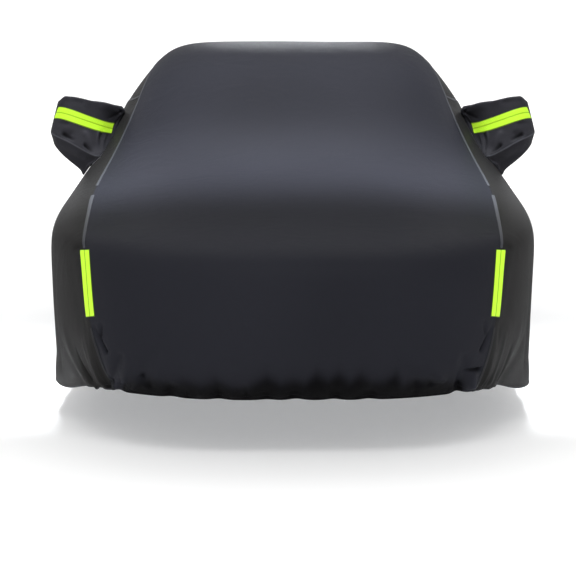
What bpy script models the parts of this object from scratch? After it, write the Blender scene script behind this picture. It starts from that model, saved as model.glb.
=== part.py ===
"""A fitted car cover of coated cloth, as it hangs over a saloon car.

Lengths are metres. Until the last step a point's y is the distance behind the cover's nose and
its z the height above the ground; to_frame() then moves the origin to the underside of the roof
cloth, where the car's roof carries the cover. The front looks along -Y.

The whole cover is one surface cover(u, s). u runs from the front hem (row 0 of ROWS), over
bonnet, windscreen, roof and boot, to the rear hem. s runs across it: 0 on the centre line,
+-1 on the two long seams, +-2 on the side hems. Every piece is cut from that surface.
"""

import bmesh
import bpy
import numpy as np

CLOTH = 0.002  # thickness of the coated cloth
TAPE = 0.001  # thickness of binding and reflective strip
GAP = 0.0003  # clearance between sewn pieces
ROOF_REST_Y = 2.60  # where the roof carries the cover, behind the nose

LENGTH = 4.73  # nose to tail
HALF_WIDTH = 0.916  # widest half width, over the wheel arches
FRONT_CORNER = 1.14  # depth of the rounded front corners in plan
REAR_CORNER = 0.85
CORNER_POWER = 0.25

SIDE_HEM_HEIGHT = 0.150
FRONT_HEM_RISE = 0.070  # how much higher the hem hangs at the bumpers
REAR_HEM_RISE = 0.090
FRONT_TURN, FRONT_TURN_SPREAD = 0.52, 0.07  # where the hem turns round the front corner
REAR_TURN, REAR_TURN_SPREAD = 4.25, 0.10
HEM_INSET = 0.014  # the elastic draws the side hem in by this
FRONT_HEM_INSET, FRONT_INSET_AT, FRONT_INSET_SPREAD = 0.09, 0.60, 0.08
REAR_HEM_INSET, REAR_INSET_AT, REAR_INSET_SPREAD = 0.085, 4.20, 0.07

SHOULDER_REACH = 0.40  # how far the cloth keeps its slope past the seam, as a share of the drop
HEM_REACH = 0.45  # how far it hangs straight above the hem
HEM_LEAN = 0.05
SIDE_SOFTNESS = 0.02  # radius of the change from shoulder to flat side

# One row for each cross-section. The centre line passes (0, centre_y, centre_z), the long seam
# passes (seam_x, seam_y, seam_z), bend is the power by which the section falls from one to the
# other, and hem_y is where the section reaches the side hem.
COLUMNS = ("centre_y", "centre_z", "seam_x", "seam_y", "seam_z", "bend", "hem_y")
ROWS = {
    "front_hem": (0.085, 0.219, 0.612, 0.240, 0.222, 2.6, 0.345),
    "tuck": (0.012, 0.280, 0.642, 0.205, 0.290, 3.6, 0.420),
    "bumper_low": (-0.008, 0.370, 0.668, 0.205, 0.380, 3.6, 0.520),
    "bumper": (-0.008, 0.500, 0.692, 0.222, 0.505, 3.6, 0.650),
    "grille": (0.000, 0.625, 0.704, 0.245, 0.632, 3.6, 0.800),
    "nose": (0.050, 0.705, 0.712, 0.290, 0.712, 3.4, 0.960),
    "bonnet_front": (0.200, 0.752, 0.720, 0.390, 0.750, 3.2, 1.100),
    "bonnet": (0.560, 0.815, 0.740, 0.680, 0.790, 3.0, 1.280),
    "bonnet_rear": (0.950, 0.880, 0.766, 1.020, 0.838, 3.0, 1.480),
    "cowl": (1.250, 0.945, 0.765, 1.310, 0.885, 3.2, 1.680),
    "screen_low": (1.520, 1.090, 0.722, 1.580, 0.995, 3.6, 1.860),
    "screen_high": (1.840, 1.285, 0.675, 1.870, 1.150, 4.5, 2.040),
    "roof_front": (2.120, 1.408, 0.642, 2.100, 1.288, 6.0, 2.240),
    "roof_fore": (2.420, 1.455, 0.614, 2.380, 1.370, 8.5, 2.480),
    "roof_mid": (2.780, 1.456, 0.604, 2.760, 1.382, 8.5, 2.740),
    "roof_rear": (3.140, 1.410, 0.610, 3.120, 1.335, 8.0, 3.000),
    "rear_glass": (3.500, 1.275, 0.655, 3.460, 1.190, 6.0, 3.260),
    "glass_foot": (3.840, 1.120, 0.705, 3.780, 1.060, 4.0, 3.520),
    "boot_front": (4.140, 1.040, 0.735, 4.050, 0.985, 3.2, 3.760),
    "boot": (4.420, 1.010, 0.735, 4.300, 0.945, 3.2, 3.960),
    "boot_edge": (4.620, 0.960, 0.722, 4.440, 0.905, 3.4, 4.120),
    "tail": (4.700, 0.840, 0.712, 4.500, 0.820, 3.6, 4.240),
    "rear_panel": (4.725, 0.680, 0.702, 4.530, 0.670, 3.6, 4.340),
    "rear_bumper": (4.735, 0.500, 0.690, 4.545, 0.500, 3.6, 4.420),
    "rear_low": (4.715, 0.350, 0.665, 4.540, 0.350, 3.6, 4.470),
    "rear_hem": (4.640, 0.235, 0.620, 4.500, 0.240, 3.6, 4.470),
}
LAST = len(ROWS) - 1
COLUMN = dict(zip(COLUMNS, np.array(list(ROWS.values())).T))

# The main folds: each is a soft trough (depth below 0) or ridge along the cloth from the point
# (u0, s0), where it is deepest, to (u1, s1), where it has faded out.
# Columns: u0, s0, u1, s1, half_width, depth.
FOLDS = (
    # front left corner, drawn in by the elastic
    (0.0, -0.97, 1.9, -0.853, 0.024, -0.024),
    (0.6, -0.93, 2.9, -0.593, 0.030, 0.010),
    (1.0, -0.78, 3.0, -0.560, 0.028, -0.009),
    (0.3, -1.06, 2.4, -0.970, 0.026, -0.011),
    # front right corner, a boxier fold
    (0.0, 0.91, 1.9, 0.845, 0.024, -0.026),
    (0.3, 0.97, 1.3, 0.920, 0.026, 0.012),
    (0.9, 0.64, 2.2, 0.460, 0.028, -0.012),
    (1.2, 0.74, 2.0, 0.600, 0.026, 0.009),
    # gathers along the front hem
    (0.0, -0.66, 1.0, -0.610, 0.030, -0.012),
    (0.0, -0.40, 1.8, -0.390, 0.030, -0.012),
    (0.0, -0.14, 1.3, -0.133, 0.030, -0.009),
    (0.0, 0.02, 1.7, 0.000, 0.030, -0.015),
    (0.0, 0.22, 1.6, 0.233, 0.030, -0.013),
    (0.0, 0.41, 1.5, 0.380, 0.030, -0.012),
    # side panels, front: folds run from the hem up towards the wheel arch
    (0.6, -1.86, 3.0, -1.487, 0.034, 0.011),
    (0.3, -1.30, 2.6, -1.083, 0.026, 0.010),
    (1.2, -1.98, 3.4, -1.660, 0.034, -0.010),
    (0.3, 1.70, 3.0, 1.480, 0.034, 0.011),
    (0.2, 1.22, 2.4, 1.040, 0.026, 0.010),
    (1.2, 1.97, 3.6, 1.640, 0.034, -0.011),
    # side panels: upright folds between the wheel arches
    (5.6, -2.0, 6.4, -1.50, 0.055, -0.011),
    (8.2, -2.0, 8.0, -1.42, 0.065, 0.009),
    (10.4, -2.0, 10.0, -1.55, 0.055, -0.012),
    (12.9, -2.0, 12.6, -1.36, 0.070, 0.010),
    (15.2, -2.0, 15.4, -1.52, 0.060, -0.012),
    (17.6, -2.0, 17.2, -1.45, 0.065, 0.009),
    (20.3, -2.0, 19.2, -1.50, 0.050, -0.011),
    (6.1, 2.0, 6.8, 1.46, 0.055, -0.010),
    (8.9, 2.0, 8.6, 1.52, 0.060, -0.011),
    (11.3, 2.0, 11.2, 1.44, 0.070, 0.010),
    (13.7, 2.0, 13.9, 1.50, 0.060, -0.012),
    (16.4, 2.0, 16.1, 1.38, 0.070, 0.009),
    (18.7, 2.0, 18.2, 1.55, 0.055, -0.011),
    (21.0, 2.0, 19.8, 1.52, 0.050, 0.010),
    # rear corners and rear hem
    (25.0, -0.93, 22.9, -0.820, 0.026, -0.020),
    (24.6, -1.10, 22.4, -0.990, 0.028, 0.010),
    (25.0, 0.90, 23.1, 0.800, 0.026, -0.021),
    (24.6, 1.08, 22.6, 1.000, 0.028, 0.011),
    (25.0, -0.42, 23.6, -0.400, 0.034, -0.012),
    (25.0, 0.08, 23.7, 0.060, 0.034, -0.013),
    (25.0, 0.48, 23.5, 0.450, 0.034, -0.011),
)
HEM_WAVE = 0.006  # the elastic hem also waves by this, fading over HEM_WAVE_HEIGHT
HEM_WAVE_HEIGHT = 0.16
HEM_WAVE_LENGTH = 0.34

# Lines of the sewing grid: every half row along the cover, and across it as listed here.
STEPS_PER_ROW = 2
SEAM_LINES = (0.00015, 0.006, 0.025)  # distances from the seam: cut edge, binding, strip
STRIP_INNER_EDGE = 0.033  # the corner strip reaches further over the middle panel
CENTRE_SHARES = (0.0, 0.11, 0.22, 0.33, 0.44, 0.54, 0.63, 0.71, 0.78, 0.84, 0.90, 0.95, 1.0)
SIDE_LINES = (0.07, 0.115, 0.16, 0.205, 0.29, 0.39, 0.49, 0.60, 0.73, 0.86, 1.0)

MOUTH_U = (10.0, 11.5)  # the opening of a mirror pocket, along the cover
MOUTH_LINES = (0.07, 0.205)  # and down the side panel
COLLAR = 0.012  # height of the pocket's sewn collar
STRIP_WIDTH = 0.050

# Cross-sections of a mirror pocket outside its collar. Columns: the points low_front, crease,
# top_front, top_back and low_back.
POCKET_SECTIONS = {
    "neck": ((0.887, 1.675, 0.896), (0.830, 1.630, 0.960), (0.783, 1.790, 1.176),
             (0.800, 1.960, 1.150), (0.900, 1.880, 0.900)),
    "body": ((0.968, 1.690, 0.962), (0.926, 1.635, 1.020), (0.877, 1.700, 1.198),
             (0.890, 1.880, 1.185), (0.965, 1.850, 0.965)),
    "end": ((1.001, 1.705, 0.997), (0.992, 1.665, 1.042), (0.948, 1.700, 1.214),
            (0.950, 1.820, 1.200), (0.998, 1.800, 1.000)),
    "tip": ((1.009, 1.735, 1.010), (1.019, 1.720, 1.057), (0.986, 1.730, 1.186),
            (0.986, 1.780, 1.182), (1.009, 1.775, 1.012)),
}
# Lines along a pocket. Columns: u and share down the side panel, where the line starts on the
# mouth's edge; then corner and share of the way to the next corner, where it crosses a section.
STRIP_CENTRE = 0.57
POCKET_LINES = (
    (10.0, 0.205, 0, 0.0),
    (10.0, 0.160, 0, 0.33),
    (10.0, 0.115, 0, 0.67),
    (10.0, 0.070, 1, 0.0),
    (10.35, 0.070, 1, 0.24),
    (10.70, 0.070, 1, "strip_low"),
    (10.84, 0.070, 1, STRIP_CENTRE),
    (10.99, 0.070, 1, "strip_high"),
    (11.22, 0.070, 1, 0.86),
    (11.5, 0.070, 2, 0.0),
    (11.5, 0.115, 2, 0.5),
    (11.5, 0.160, 3, 0.0),
    (11.5, 0.205, 3, 0.40),
    (11.2, 0.205, 3, 0.80),
    (10.9, 0.205, 4, 0.2),
    (10.45, 0.205, 4, 0.6),
)
POCKET_STEPS = (0.0, 0.3, 1.0, 1.6, 2.2, 2.8, 3.3, 3.8, 4.2, 4.6, 5.0)
STRIP_STEPS, STRIP_LINES = (2, 10), (5, 8)  # the pocket's steps and lines that its strip covers

COLOURS = {  # base colour, roughness
    "black_cloth": ((0.022, 0.022, 0.026), 0.42),
    "grey_binding": ((0.120, 0.120, 0.130), 0.55),
    "lime_reflective": ((0.560, 1.000, 0.045), 0.35),
}
FRONT_STRIP_U = (2.8, 4.93)  # the corner strip, along the seam
BINDINGS = {  # stretches of seam that show their binding, along the cover
    "bumper": (0.0, 2.5),
    "bonnet": (5.0, 8.0),
    "roof": (8.5, 25.0),
}
SIDES = {"left": -1, "right": 1}


def spline(values, t):
    """Cubic B-spline with the given control values, one for each whole t; it ends on them."""
    values = np.asarray(values, float)
    control = np.concatenate([[2 * values[0] - values[1]], values, [2 * values[-1] - values[-2]]])
    t = np.asarray(t, float)
    i = np.clip(np.floor(t).astype(int), 0, len(values) - 2)
    f = (t - i).reshape(t.shape + (1,) * (values.ndim - 1))
    weights = (
        (1 - f) ** 3,
        3 * f**3 - 6 * f**2 + 4,
        -3 * f**3 + 3 * f**2 + 3 * f + 1,
        f**3,
    )
    return sum(w * control[i + k] for k, w in enumerate(weights)) / 6


def rise(x):
    """Smooth step from 0, for very negative x, to 1."""
    return 1 / (1 + np.exp(-np.clip(x, -40, 40)))


def plan_half_width(y):
    """Half width of the outline seen from above: straight sides with rounded corners."""
    front = np.clip((y + 0.02) / FRONT_CORNER, 0.001, 1)
    rear = np.clip((LENGTH + 0.02 - y) / REAR_CORNER, 0.001, 1)
    return HALF_WIDTH * ((1 - (1 - front) ** 2) * (1 - (1 - rear) ** 2)) ** CORNER_POWER


def side_hem(y):
    """The side hem's point at y: drawn in and raised where it turns round the corners."""
    front_inset = FRONT_HEM_INSET * rise((FRONT_INSET_AT - y) / FRONT_INSET_SPREAD)
    rear_inset = REAR_HEM_INSET * rise((y - REAR_INSET_AT) / REAR_INSET_SPREAD)
    x = plan_half_width(y) - HEM_INSET - front_inset - rear_inset
    front_rise = FRONT_HEM_RISE * rise((FRONT_TURN - y) / FRONT_TURN_SPREAD)
    rear_rise = REAR_HEM_RISE * rise((y - REAR_TURN) / REAR_TURN_SPREAD)
    return np.stack([x, y, SIDE_HEM_HEIGHT + front_rise + rear_rise], -1)


def unit(v):
    return v / np.linalg.norm(v, axis=-1, keepdims=True)


def side_panel_point(u, w, seam, leave, hem_y):
    """A Bezier curve from the seam (w = 0) to the hem (w = 1), kept inside the plan outline."""
    w = w[..., None]
    hem = side_hem(hem_y)
    drop = np.linalg.norm(hem - seam, axis=-1, keepdims=True)
    front = rise((0.50 - hem_y) / 0.09)
    rear = rise((hem_y - 4.30) / 0.09)
    lean = HEM_LEAN + 0.5 * (front + rear)
    up = unit(np.stack([lean, 0.35 * (rear - front), np.ones_like(lean)], -1))
    # near the two ends of the cover the section shrinks to the hem itself
    end = (np.exp(-((u / 1.1) ** 2)) + np.exp(-(((LAST - u) / 1.1) ** 2)))[..., None]
    a = seam + leave * drop * (SHOULDER_REACH * (1 - end) + end / 3)
    b = hem + up * drop * HEM_REACH * (1 - end) + (seam - hem) / 3 * end
    point = (
        seam * (1 - w) ** 3 + 3 * a * w * (1 - w) ** 2 + 3 * b * w**2 * (1 - w) + hem * w**3
    )
    over = point[..., 0] - plan_half_width(point[..., 1])
    push = SIDE_SOFTNESS * np.logaddexp(0, over / SIDE_SOFTNESS)
    ramp = np.clip(np.minimum(w, 1 - w)[..., 0] / 0.12, 0, 1)
    point[..., 0] -= push * ramp**2 * (3 - 2 * ramp)
    return point


def cover(u, s):
    """The smooth cover. Across the middle panel a section falls by |s| to the power `bend`."""
    u, s = np.broadcast_arrays(np.asarray(u, float), np.asarray(s, float))
    row = {name: spline(values, u) for name, values in COLUMN.items()}
    centre = np.stack([np.zeros_like(u), row["centre_y"], row["centre_z"]], -1)
    seam = np.stack([row["seam_x"], row["seam_y"], row["seam_z"]], -1)
    v = np.minimum(np.abs(s), 1)
    fall = (v ** row["bend"])[..., None]
    middle = centre + (seam - centre) * fall
    middle[..., 0] = row["seam_x"] * v
    leave = (seam - centre) * row["bend"][..., None]
    leave[..., 0] = row["seam_x"]
    w = np.clip(np.abs(s) - 1, 0, 1)
    side = side_panel_point(u, w, seam, unit(leave), row["hem_y"])
    point = np.where(np.abs(s)[..., None] <= 1, middle, side)
    point[..., 0] *= np.where(s < 0, -1, 1)
    return point


def outward(u, s, step=1e-3):
    """Unit normal of the smooth cover, from central differences."""
    u, s = np.broadcast_arrays(np.asarray(u, float), np.asarray(s, float))
    u0, u1 = np.clip(u - step, 0, LAST), np.clip(u + step, 0, LAST)
    s0, s1 = np.clip(s - step, -2, 2), np.clip(s + step, -2, 2)
    return unit(np.cross(cover(u, s1) - cover(u, s0), cover(u1, s) - cover(u0, s)))


def fold_depth(point, u, s):
    """Sum of all folds at a point: each a bell across its line, fading towards its far end."""
    depth = np.zeros(point.shape[:-1])
    for u0, s0, u1, s1, half_width, fold in FOLDS:
        start, end = cover(u0, s0), cover(u1, s1)
        along = ((point - start) @ (end - start)) / ((end - start) @ (end - start))
        nearest = start + np.clip(along, 0, 1)[..., None] * (end - start)
        across = np.linalg.norm(point - nearest, axis=-1) / half_width
        fade = 1 - np.clip(along, 0, 1) ** 2
        depth += fold * fade * np.exp(-(across**2))
    above_hem = point[..., 2] - SIDE_HEM_HEIGHT
    wave = np.sin(2 * np.pi * point[..., 1] / HEM_WAVE_LENGTH + np.sign(s) + 1.3 * np.sin(u))
    on_side = np.clip((np.abs(s) - 1.2) / 0.3, 0, 1)
    return depth + HEM_WAVE * wave * on_side * np.exp(-((above_hem / HEM_WAVE_HEIGHT) ** 2))


def cloth(u, s, lift=0.0):
    """The draped cloth's outer face: the cover with its folds, raised by lift."""
    point = cover(u, s)
    normal = outward(u, s)
    return point + normal * (fold_depth(point, *np.broadcast_arrays(u, s)) + lift)[..., None]


ROOF_U = np.interp(ROOF_REST_Y, cover(np.linspace(10, 16, 601), 0.0)[:, 1], np.linspace(10, 16, 601))
ORIGIN = np.array([0, ROOF_REST_Y, cloth(ROOF_U, 0.0)[2] - CLOTH])


def to_frame(points):
    return points - ORIGIN


def row_lines(first=0.0, last=LAST):
    """The grid's lines along u between two rows, both kept."""
    inner = np.arange(0, LAST + 0.01, 1 / STEPS_PER_ROW)
    inner = inner[(inner > first + 0.1) & (inner < last - 0.1)]
    return np.concatenate([[first], inner, [last]])


def seam_distance(u, distance, side):
    """The s that lies `distance` from a seam: negative distances are on the middle panel."""
    small = 0.01
    away = 1 + (small if distance > 0 else -small)
    speed = np.linalg.norm(cover(u, away) - cover(u, 1.0), axis=-1) / small
    return side * (1 + distance / speed)


def side_line(u, share, side):
    """The s of a line down a side panel, as a share of the way from its strip line to the hem."""
    start = seam_distance(u, SEAM_LINES[-1], 1)
    return side * (start + (2 - start) * share)


def new_material(name):
    colour, roughness = COLOURS[name]
    material = bpy.data.materials.new(name)
    material.use_nodes = True
    shader = material.node_tree.nodes["Principled BSDF"]
    shader.inputs["Base Color"].default_value = (*colour, 1)
    shader.inputs["Roughness"].default_value = roughness
    shader.inputs["Metallic"].default_value = 0
    return material


def rim_faces(faces, count):
    """Triangles that join the open edges of one face of a sheet to those of the other."""
    edges = [(f[k], f[(k + 1) % 3]) for f in faces for k in range(3)]
    known = set(edges)
    rim = []
    for a, b in edges:
        if (b, a) in known:
            continue
        if a < b:  # one diagonal for both directions, so that two cut edges lie flat together
            rim += [(b, a, a + count), (b, a + count, b + count)]
        else:
            rim += [(b, a, b + count), (a, a + count, b + count)]
    return rim


def sheet(name, outer, inner, faces, material, collection):
    """One cloth piece: an outer and an inner face on the same grid, closed round their edges."""
    outer, inner = outer.reshape(-1, 3), inner.reshape(-1, 3)
    count = len(outer)
    back = [(c + count, b + count, a + count) for a, b, c in faces]
    mesh = bpy.data.meshes.new(name)
    points = to_frame(np.concatenate([outer, inner]))
    mesh.from_pydata(points.tolist(), [], faces + back + rim_faces(faces, count))
    work = bmesh.new()
    work.from_mesh(mesh)
    loose = [v for v in work.verts if not v.link_faces]
    bmesh.ops.delete(work, geom=loose, context="VERTS")
    work.to_mesh(mesh)
    work.free()
    mesh.shade_smooth()
    mesh.set_sharp_from_angle(angle=np.radians(50))
    mesh.materials.append(material)
    piece = bpy.data.objects.new(name, mesh)
    collection.objects.link(piece)
    return piece


def grid_faces(rows, columns, hole=None, flip=False, centre=0):
    """Triangles of a grid of points, without the cells inside the hole.

    Every cell is split from its inner front corner, before the centre column from the mirrored
    one, so that pieces that share the grid's lines lie flat on each other.
    """
    faces = []
    for i in range(rows - 1):
        for j in range(columns - 1):
            if hole and hole[0] <= i < hole[1] and hole[2] <= j < hole[3]:
                continue
            a = i * columns + j
            b, c, d = a + 1, a + columns + 1, a + columns
            pair = ((a, b, d), (b, c, d)) if j < centre else ((a, b, c), (a, c, d))
            faces += [face[::-1] if flip else face for face in pair]
    return faces


def centre_panel(material, collection):
    """The middle panel, hem to hem between the two seams."""
    u = row_lines()[:, None]
    near = [seam_distance(u, -d, 1) for d in (STRIP_INNER_EDGE, SEAM_LINES[1], SEAM_LINES[0])]
    half = [near[0] * share for share in CENTRE_SHARES[:-1]] + near
    half = np.concatenate(half, axis=1)
    s = np.concatenate([-half[:, :0:-1], half], axis=1)
    faces = grid_faces(*s.shape, centre=s.shape[1] // 2)
    return sheet("centre_panel", cloth(u, s), cloth(u, s, -CLOTH), faces, material, collection)


def side_panel(name, side, material, collection):
    """A side panel from its seam down to the hem, with the mouth of its mirror pocket."""
    u = row_lines()[:, None]
    lines = [seam_distance(u, d, side) for d in SEAM_LINES]
    lines += [side_line(u, share, side) for share in SIDE_LINES]
    s = np.concatenate(lines, axis=1)
    first = len(SEAM_LINES)
    hole = (
        int(MOUTH_U[0] * STEPS_PER_ROW),
        int(MOUTH_U[1] * STEPS_PER_ROW),
        first + SIDE_LINES.index(MOUTH_LINES[0]),
        first + SIDE_LINES.index(MOUTH_LINES[1]),
    )
    faces = grid_faces(*s.shape, hole=hole, flip=side < 0)
    return sheet(name, cloth(u, s), cloth(u, s, -CLOTH), faces, material, collection)


def pocket_section(corners, line):
    """Where a pocket's line crosses one cross-section."""
    corners = np.array(corners)
    corner, share = line[2:]
    start, end = corners[corner], corners[(corner + 1) % len(corners)]
    if isinstance(share, str):
        half = STRIP_WIDTH / 2 / np.linalg.norm(end - start)
        share = STRIP_CENTRE + (half if share == "strip_high" else -half)
    return start + (end - start) * share


def pocket_grid(side):
    """Points of a mirror pocket, [step outwards, line round it]."""
    u = np.array([line[0] for line in POCKET_LINES])
    down = np.array([line[1] for line in POCKET_LINES])
    # on the mouth's straight edges, between the panel's own grid points
    low = np.floor(u * STEPS_PER_ROW) / STEPS_PER_ROW
    high = low + 1 / STEPS_PER_ROW
    share = ((u - low) * STEPS_PER_ROW)[:, None]
    edge = cloth(low, side_line(low, down, side)) * (1 - share)
    edge += cloth(high, side_line(high, down, side)) * share
    edge[:, 0] = np.abs(edge[:, 0])
    normal = outward(u, side_line(u, down, 1))
    middle = edge.mean(axis=0)
    inward = unit(middle - edge - normal * ((middle - edge) * normal).sum(-1, keepdims=True))
    base = edge + inward * GAP * 2
    sections = [[pocket_section(c, line) for line in POCKET_LINES] for c in POCKET_SECTIONS.values()]
    control = np.array([base, base + normal * COLLAR, *sections])
    grid = spline(control, np.array(POCKET_STEPS))
    grid[..., 0] *= side
    along, round_it = np.gradient(grid, axis=0), np.roll(grid, -1, 1) - np.roll(grid, 1, 1)
    return grid, unit(np.cross(along, round_it)) * side


def mirror_pocket(name, side, material, collection):
    """A hollow pocket for one wing mirror, open where it meets the side panel."""
    grid, normal = pocket_grid(side)
    steps, lines = grid.shape[:2]
    tip = grid[-1].mean(axis=0)
    outer = np.concatenate([grid.reshape(-1, 3), [tip]])
    tip_inside = tip - [side * CLOTH, 0, 0]
    inner = np.concatenate([(grid - normal * CLOTH).reshape(-1, 3), [tip_inside]])
    faces = []
    for j in range(lines):
        k = (j + 1) % lines
        for i in range(steps - 1):
            a, b, c, d = i * lines + j, i * lines + k, (i + 1) * lines + k, (i + 1) * lines + j
            faces += [(a, b, c), (a, c, d)]
        faces.append(((steps - 1) * lines + j, (steps - 1) * lines + k, steps * lines))
    faces = [face[::-1] for face in faces] if side > 0 else faces
    return sheet(name, outer, inner, faces, material, collection)


def mirror_strip(name, side, material, collection):
    """The reflective strip on a mirror pocket's front, on the pocket's own grid lines."""
    grid, normal = pocket_grid(side)
    patch = np.s_[STRIP_STEPS[0] : STRIP_STEPS[1], STRIP_LINES[0] : STRIP_LINES[1]]
    inner = grid[patch] + normal[patch] * GAP
    outer = inner + normal[patch] * TAPE
    faces = grid_faces(*inner.shape[:2], flip=side > 0)
    return sheet(name, outer, inner, faces, material, collection)


def seam_trim(name, side, stretch, distances, material, collection):
    """A strip laid over a seam: it shares the grid lines of the two panels beneath."""
    u = row_lines(*stretch)[:, None]
    s = np.concatenate([seam_distance(u, d, 1) for d in distances], axis=1)
    on_lines = np.minimum(np.floor(u * STEPS_PER_ROW), LAST * STEPS_PER_ROW - 1) / STEPS_PER_ROW
    share = (u - on_lines) * STEPS_PER_ROW

    def face(lift):
        below = cloth(on_lines, s * side, lift)
        above = cloth(on_lines + 1 / STEPS_PER_ROW, s * side, lift)
        return below * (1 - share)[..., None] + above * share[..., None]

    faces = grid_faces(*s.shape, flip=side < 0)
    return sheet(name, face(GAP + TAPE), face(GAP), faces, material, collection)


def main():
    for old in list(bpy.data.objects):
        bpy.data.objects.remove(old, do_unlink=True)
    parts = bpy.data.collections.new("car_cover")
    bpy.context.scene.collection.children.link(parts)
    black = new_material("black_cloth")
    grey = new_material("grey_binding")
    lime = new_material("lime_reflective")
    _, binding, strip = SEAM_LINES
    centre_panel(black, parts)
    for word, side in SIDES.items():
        side_panel(f"side_panel_{word}", side, black, parts)
        mirror_pocket(f"mirror_pocket_{word}", side, black, parts)
        mirror_strip(f"mirror_strip_{word}", side, lime, parts)
        across = (-STRIP_INNER_EDGE, -binding, 0, binding, strip)
        seam_trim(f"corner_strip_{word}", side, FRONT_STRIP_U, across, lime, parts)
        for where, stretch in BINDINGS.items():
            seam_trim(f"{where}_binding_{word}", side, stretch, across[1:-1], grey, parts)


main()
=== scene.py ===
"""The looks of a fitted car cover: coated cloth panels, pockets, seam tape and reflective strips.

The cover is one surface cover(u, s), cut into panels, with folds added along its normal. u runs
from the front hem (row 0 of ROWS) to the rear hem. s is 0 on the centre line, +-1 on the two
long seams and +-2 on the side hems. Lengths are metres. y is first measured behind the nose and
z above the ground, and to_frame() moves points to the frame's origin under the roof cloth.
"""

import math

import bpy
import numpy as np
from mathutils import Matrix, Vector


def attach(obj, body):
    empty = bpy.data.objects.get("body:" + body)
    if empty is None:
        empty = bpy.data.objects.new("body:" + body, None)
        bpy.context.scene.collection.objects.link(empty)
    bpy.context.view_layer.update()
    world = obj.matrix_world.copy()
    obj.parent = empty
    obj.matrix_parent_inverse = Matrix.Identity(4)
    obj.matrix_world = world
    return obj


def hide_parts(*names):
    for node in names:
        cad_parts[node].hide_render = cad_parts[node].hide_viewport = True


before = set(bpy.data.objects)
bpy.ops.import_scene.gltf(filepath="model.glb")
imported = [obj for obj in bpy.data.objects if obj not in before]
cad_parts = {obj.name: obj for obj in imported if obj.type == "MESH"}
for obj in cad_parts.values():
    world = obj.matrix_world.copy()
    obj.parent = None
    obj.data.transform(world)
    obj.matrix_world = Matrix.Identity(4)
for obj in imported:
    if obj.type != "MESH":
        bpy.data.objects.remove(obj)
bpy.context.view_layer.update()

MM = 0.001
CLOTH = 0.002  # thickness of the coated cloth
GAP = 0.0003  # clearance between sewn pieces
TAPE = 0.001  # thickness of a tape or strip
STRIP_WIDTH = 0.050  # of a mirror strip

LENGTH = 4.73
HALF_WIDTH = 0.916
FRONT_CORNER = 1.14
REAR_CORNER = 0.85
CORNER_POWER = 0.25
SIDE_HEM_HEIGHT = 0.150
FRONT_HEM_RISE = 0.070
REAR_HEM_RISE = 0.090
FRONT_TURN, FRONT_TURN_SPREAD = 0.52, 0.07
REAR_TURN, REAR_TURN_SPREAD = 4.25, 0.10
HEM_INSET = 0.014
FRONT_HEM_INSET, FRONT_INSET_AT, FRONT_INSET_SPREAD = 0.09, 0.60, 0.08
REAR_HEM_INSET, REAR_INSET_AT, REAR_INSET_SPREAD = 0.085, 4.20, 0.07
SHOULDER_REACH = 0.40
HEM_REACH = 0.45
HEM_LEAN = 0.05
SIDE_SOFTNESS = 0.02
ORIGIN = np.array([0, 2.60, 1.452])

# Cross-sections from the front hem to the rear hem, as in the part's source but in mm.
COLUMNS = ("centre_y", "centre_z", "seam_x", "seam_y", "seam_z", "bend", "hem_y")
ROWS = {
    "front_hem": (85, 219, 612, 240, 222, 2.6, 345),
    "tuck": (12, 280, 642, 205, 290, 3.6, 420),
    "bumper_low": (-8, 370, 668, 205, 380, 3.6, 520),
    "bumper": (-8, 500, 692, 222, 505, 3.6, 650),
    "grille": (0, 625, 704, 245, 632, 3.6, 800),
    "nose": (50, 705, 712, 290, 712, 3.4, 960),
    "bonnet_front": (200, 752, 720, 390, 750, 3.2, 1100),
    "bonnet": (560, 815, 740, 680, 790, 3, 1280),
    "bonnet_rear": (950, 880, 766, 1020, 838, 3, 1480),
    "cowl": (1250, 945, 765, 1310, 885, 3.2, 1680),
    "screen_low": (1520, 1090, 722, 1580, 995, 3.6, 1860),
    "screen_high": (1840, 1285, 675, 1870, 1150, 4.5, 2040),
    "roof_front": (2120, 1408, 642, 2100, 1288, 6, 2240),
    "roof_fore": (2420, 1455, 614, 2380, 1370, 8.5, 2480),
    "roof_mid": (2780, 1456, 604, 2760, 1382, 8.5, 2740),
    "roof_rear": (3140, 1410, 610, 3120, 1335, 8, 3000),
    "rear_glass": (3500, 1275, 655, 3460, 1190, 6, 3260),
    "glass_foot": (3840, 1120, 705, 3780, 1060, 4, 3520),
    "boot_front": (4140, 1040, 735, 4050, 985, 3.2, 3760),
    "boot": (4420, 1010, 735, 4300, 945, 3.2, 3960),
    "boot_edge": (4620, 960, 722, 4440, 905, 3.4, 4120),
    "tail": (4700, 840, 712, 4500, 820, 3.6, 4240),
    "rear_panel": (4725, 680, 702, 4530, 670, 3.6, 4340),
    "rear_bumper": (4735, 500, 690, 4545, 500, 3.6, 4420),
    "rear_low": (4715, 350, 665, 4540, 350, 3.6, 4470),
    "rear_hem": (4640, 235, 620, 4500, 240, 3.6, 4470),
}
LAST = len(ROWS) - 1
COLUMN = dict(zip(COLUMNS, np.array(list(ROWS.values())).T * MM))
COLUMN["bend"] = COLUMN["bend"] / MM  # a power, not a length

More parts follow.
